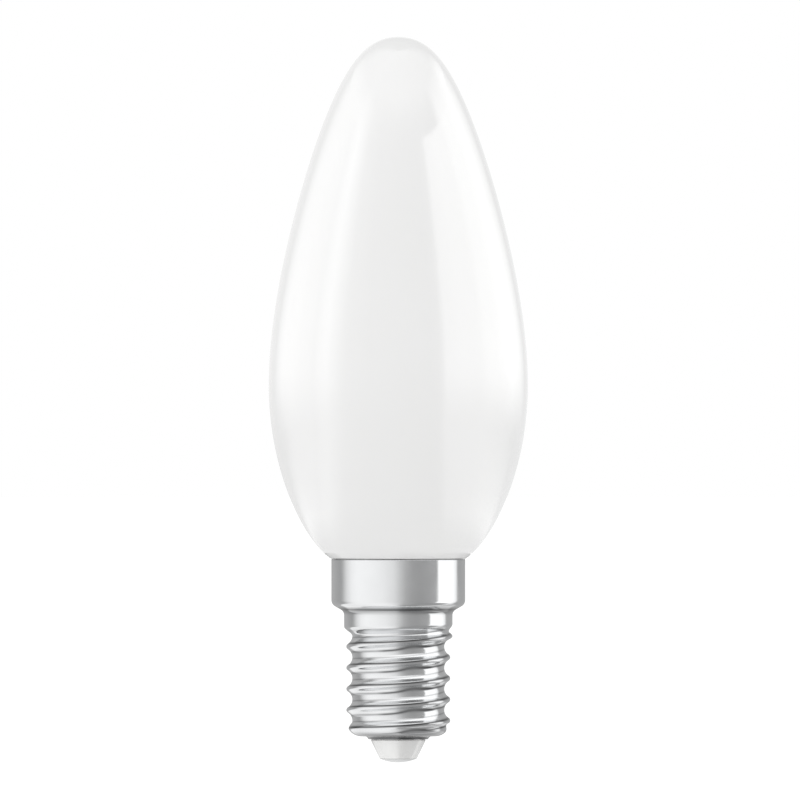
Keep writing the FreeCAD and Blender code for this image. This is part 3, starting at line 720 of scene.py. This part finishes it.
def insulator():
    """The moulding: cone below the lip, throat through it and flange inside the cap."""
    foot = CONTACT_LOW.z + DOME_HEIGHT
    cone_top_height = BOTTOM_HEIGHT - CONE_TOP_DROP
    seat = BOTTOM_HEIGHT + WALL + SEAT_GAP
    bore_foot = (BORE_RADIUS, foot)
    bore_top = (BORE_RADIUS, MOULDING_TOP)
    cone_foot = (CONE_FOOT_RADIUS, foot)
    cone_top = (CONE_TOP_RADIUS, cone_top_height)
    throat_foot = (THROAT_RADIUS, cone_top_height)
    levels = [bore_top, bore_foot]
    levels += rounded(bore_foot, cone_foot, cone_top, CONE_FOOT_ROUND, CONE_FOOT_STEPS)
    levels += rounded(cone_foot, cone_top, throat_foot, CONE_TOP_ROUND, CONE_TOP_STEPS)
    levels += [throat_foot, (THROAT_RADIUS, seat)]
    levels += [(FLANGE_RADIUS - inset, seat + height) for inset, height in FLANGE_EDGE]
    levels += [(FLANGE_RADIUS, MOULDING_TOP), bore_top]
    piece = drawn_up("white_insulator", levels, SMALL_SEGMENTS, close_start=False, close_end=False)
    # The last ring meets the first one.
    bpy.ops.object.mode_set(mode="EDIT")
    bpy.ops.mesh.select_all(action="SELECT")
    bpy.ops.mesh.remove_doubles(threshold=MERGE_WITHIN)
    bpy.ops.mesh.normals_make_consistent(inside=False)
    bpy.ops.object.mode_set(mode="OBJECT")
    finish_piece(piece, "white_moulding", "insulator")


def centre_contact():
    """The tinned contact: a shallow dome and its shank through the moulding."""
    ball = (CONTACT_RADIUS ** 2 + DOME_HEIGHT ** 2) / (2 * DOME_HEIGHT)
    spread = math.asin(CONTACT_RADIUS / ball)
    levels = []
    for step in range(1, DOME_STEPS + 1):
        angle = spread * step / DOME_STEPS
        levels.append((ball * math.sin(angle), CONTACT_LOW.z + ball - ball * math.cos(angle)))
    levels += [(SHANK_RADIUS, CONTACT_LOW.z + DOME_HEIGHT), (SHANK_RADIUS, CONTACT_TOP - SHANK_BEVEL),
               (SHANK_RADIUS - SHANK_BEVEL, CONTACT_TOP)]
    piece = drawn_up("tinned_centre_contact", levels, SMALL_SEGMENTS)
    finish_piece(piece, "tinned_contact", "centre_contact")


def carried_over_nodes():
    """The nodes inside the cap keep their shape and get their own finish."""
    for row in frame["record"]["subparts"]:
        node = frame["nodes"][row["node"]]
        node.data.materials.clear()
        node.data.materials.append(MATERIALS[row["material_slot"]])


# Stage

def camera():
    """Level view from the front through a long lens, as in the photograph."""
    sideways = (IMAGE_WIDTH / 2 - AXIS_PIXEL) / PIXELS_PER_METRE
    height = (FOOT_PIXEL - IMAGE_WIDTH / 2) / PIXELS_PER_METRE
    bpy.ops.object.camera_add(location=(sideways, -CAMERA_DISTANCE, height),
                              rotation=(math.pi / 2, 0, 0))
    view = bpy.context.object
    view.name = "front_view"
    view.data.sensor_width = SENSOR
    view.data.lens = SENSOR * CAMERA_DISTANCE * PIXELS_PER_METRE / IMAGE_WIDTH
    view.data.clip_start = NEAREST_SEEN
    view.data.clip_end = FARTHEST_SEEN
    bpy.context.scene.camera = view


def brightness_by_use(tree, as_light, as_seen):
    """One brightness as light on the bulb, another for what is seen, mirrored or let through."""
    path = add_node(tree, "ShaderNodeLightPath")
    seen_or_mirrored = add_node(tree, "ShaderNodeMath", {"operation": "MAXIMUM"},
                                {0: path.outputs["Is Camera Ray"], 1: path.outputs["Is Glossy Ray"]})
    seen = add_node(tree, "ShaderNodeMath", {"operation": "MAXIMUM"},
                    {0: seen_or_mirrored.outputs[0], 1: path.outputs["Is Transmission Ray"]})
    level = add_node(tree, "ShaderNodeMapRange", None, {
        "Value": seen.outputs[0], "From Min": 0.0, "From Max": 1.0, "To Min": as_light, "To Max": as_seen,
    })
    return level.outputs["Result"]


def world():
    """A plain pale room: white where it is seen, a soft fill where it lights."""
    room = bpy.data.worlds.new("pale_room")
    bpy.context.scene.world = room
    room.use_nodes = True
    tree = room.node_tree
    tree.nodes.clear()
    light = add_node(tree, "ShaderNodeBackground", None, {
        "Color": linear("#FFFFFF"), "Strength": brightness_by_use(tree, ROOM_FILL, ROOM_SEEN),
    })
    add_node(tree, "ShaderNodeOutputWorld", None, {"Surface": light.outputs[0]})


def floor():
    """White floor, so far below the bulb that its shadow stays out of the front view."""
    bpy.ops.mesh.primitive_plane_add(size=FLOOR_SIDE, location=(0, 0, FLOOR_HEIGHT))
    ground = bpy.context.object
    ground.name = "floor"
    bpy.ops.object.transform_apply(location=True)
    material, tree = new_material("white_floor")
    matt = add_node(tree, "ShaderNodeBsdfDiffuse", None, {"Color": linear("#F2F2F2")})
    glow = add_node(tree, "ShaderNodeEmission", None, {
        "Color": linear("#FFFFFF"), "Strength": brightness_by_use(tree, FLOOR_GLOW, FLOOR_GLOW_SEEN),
    })
    both = add_node(tree, "ShaderNodeAddShader", None, {0: matt.outputs[0], 1: glow.outputs[0]})
    show(tree, both)
    ground.data.materials.append(material)


def soft_box():
    """A large soft light above the bulb, in front and to the left of it, that no mirror shows."""
    bpy.ops.object.light_add(type="AREA", location=SOFT_BOX_PLACE)
    box = bpy.context.object
    box.name = "soft_box"
    box.data.shape = "SQUARE"
    box.data.size = SOFT_BOX_SIDE
    box.data.energy = SOFT_BOX_POWER
    box.rotation_euler = (Vector(SOFT_BOX_AIM) - box.location).to_track_quat("-Z", "Y").to_euler()
    box.visible_glossy = False


def set_stops(ramp, stops):
    """Gives a ramp over the full circle its stops of (degrees, brightness)."""
    marks = ramp.color_ramp.elements
    while len(marks) < len(stops):
        marks.new(0.5)
    for mark, (degrees, brightness) in zip(marks, stops):
        mark.position = (degrees + 180) / 360
        level = brightness / BRIGHTEST
        mark.color = (level, level, level, 1)


def screen(name, levels, lower_light, upper_light, change):
    """A lit screen round the bulb that only mirrors show.

    It goes through levels of (radius, height). Its light passes from the lower list to the upper one
    between the two heights of the change.
    """
    cloth = drawn_up(name, levels, SMALL_SEGMENTS, close_start=False, close_end=False)
    material, tree = new_material(name)
    place = add_node(tree, "ShaderNodeTexCoord")
    split = add_node(tree, "ShaderNodeSeparateXYZ", None, {"Vector": place.outputs["Object"]})
    toward = add_node(tree, "ShaderNodeMath", {"operation": "MULTIPLY"}, {0: split.outputs["Y"], 1: -1.0})
    direction = add_node(tree, "ShaderNodeMath", {"operation": "ARCTAN2"},
                         {0: split.outputs["X"], 1: toward.outputs[0]})
    circle = add_node(tree, "ShaderNodeMapRange", None,
                      {"Value": direction.outputs[0], "From Min": -math.pi, "From Max": math.pi})
    rise = add_node(tree, "ShaderNodeMapRange", {"interpolation_type": "SMOOTHSTEP"},
                    {"Value": split.outputs["Z"], "From Min": change[0], "From Max": change[1]})
    lower = add_node(tree, "ShaderNodeValToRGB", None, {"Fac": circle.outputs["Result"]})
    set_stops(lower, lower_light)
    upper = add_node(tree, "ShaderNodeValToRGB", None, {"Fac": circle.outputs["Result"]})
    set_stops(upper, upper_light)
    light = add_node(tree, "ShaderNodeMix", {"data_type": "RGBA"}, {
        MIX_FACTOR: rise.outputs["Result"], MIX_FIRST: lower.outputs["Color"],
        MIX_SECOND: upper.outputs["Color"],
    })
    shader = add_node(tree, "ShaderNodeEmission", None,
                      {"Color": light.outputs[MIX_COLOUR], "Strength": BRIGHTEST})
    show(tree, shader)
    cloth.data.materials.append(material)
    for kind in ("camera", "diffuse", "transmission", "volume_scatter", "shadow"):
        setattr(cloth, f"visible_{kind}", False)


def screens():
    """What the cap mirrors, below the glass, and what the glass mirrors, above the cap."""
    cap_wall = [(SCREEN_MIDDLE, TABLE_HEIGHT), (SCREEN_RADIUS, TABLE_HEIGHT),
                (SCREEN_RADIUS, SKY_EDGE_HEIGHT)]
    screen("cap_wall", cap_wall, CAP_TABLE_LIGHT, CAP_LIGHT, TABLE_TO_WALL)
    cap_sky = [(SKY_RADIUS, SKY_HEIGHT), (SCREEN_RADIUS, SKY_EDGE_HEIGHT)]
    screen("cap_sky", cap_sky, CAP_SKY_LIGHT, CAP_LIGHT, SKY_TO_WALL)
    glass_shelf = [(SKY_RADIUS, SHELF_HEIGHT), (SCREEN_RADIUS, SHELF_EDGE_HEIGHT)]
    screen("glass_shelf", glass_shelf, GLASS_SHELF_LIGHT, GLASS_LOW_LIGHT, SHELF_TO_BOXES)
    glass_wall = [(SCREEN_RADIUS, SHELF_EDGE_HEIGHT), (SCREEN_RADIUS, RIGHT_BOX_TOP)]
    screen("glass_wall", glass_wall, GLASS_LOW_LIGHT, GLASS_LIGHT, (SHELF_EDGE_HEIGHT, BOXES_FULL_FROM))
    glass_top = [(SCREEN_RADIUS, RIGHT_BOX_TOP), (SCREEN_RADIUS, LEFT_BOX_TOP),
                 (SCREEN_RADIUS / 2, CEILING_HEIGHT), (SCREEN_MIDDLE, CEILING_HEIGHT)]
    screen("glass_top", glass_top, GLASS_TOP_LIGHT, CEILING_LIGHT, (RIGHT_BOX_TOP, LEFT_BOX_TOP))


camera()
glass_envelope()
cap_shell()
insulator()
centre_contact()
carried_over_nodes()
world()
floor()
soft_box()
screens()

bpy.context.scene.view_settings.view_transform = "Standard"
